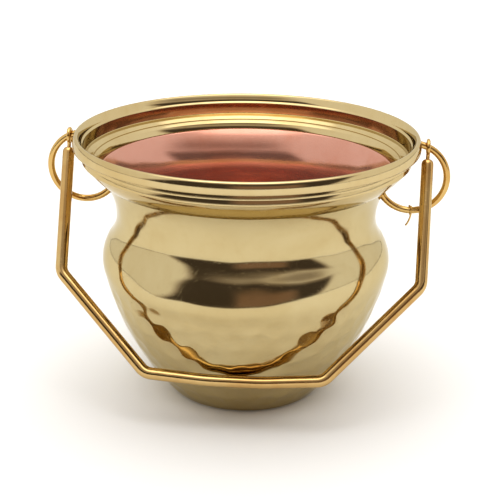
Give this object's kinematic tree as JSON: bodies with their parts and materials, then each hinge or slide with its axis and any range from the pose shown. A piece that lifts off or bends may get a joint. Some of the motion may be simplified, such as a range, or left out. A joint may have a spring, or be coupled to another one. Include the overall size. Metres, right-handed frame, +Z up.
{
  "type": "brass kalash pot",
  "caption": "Round-bellied brass kalash pot with a copper lining, a heavy stepped rim, wire ring ears and a swinging bail handle.",
  "frame": {"origin": "middle of the foot's flat underside", "axes": "+Z up through the mouth, X along the hinge axis of the bail through both ears, the bail at rest on the -Y side"},
  "size_m": [0.211, 0.18, 0.1405],
  "materials": {
    "body_brass": "polished, hand hammered below the belly",
    "rim_brass": "polished",
    "lining_copper": "polished copper",
    "wire_brass": "polished drawn wire",
    "rod_brass": "polished round rod"
  },
  "bodies": {
    "pot": {"body_shell": "body_brass", "copper_lining": "lining_copper", "rim_collar": "rim_brass", "left_ear": "wire_brass", "right_ear": "wire_brass", "binding_wire": "wire_brass"},
    "bail": {"bail_rod": "rod_brass", "left_bail_hook": "wire_brass", "right_bail_hook": "wire_brass"}
  },
  "joints": [
    {"name": "bail_swing", "type": "hinge", "parent": "pot", "child": "bail", "pos_m": [0, 0, 0.13575], "axis": [-1, 0, 0], "range_deg": [0, 297.4]}
  ]
}
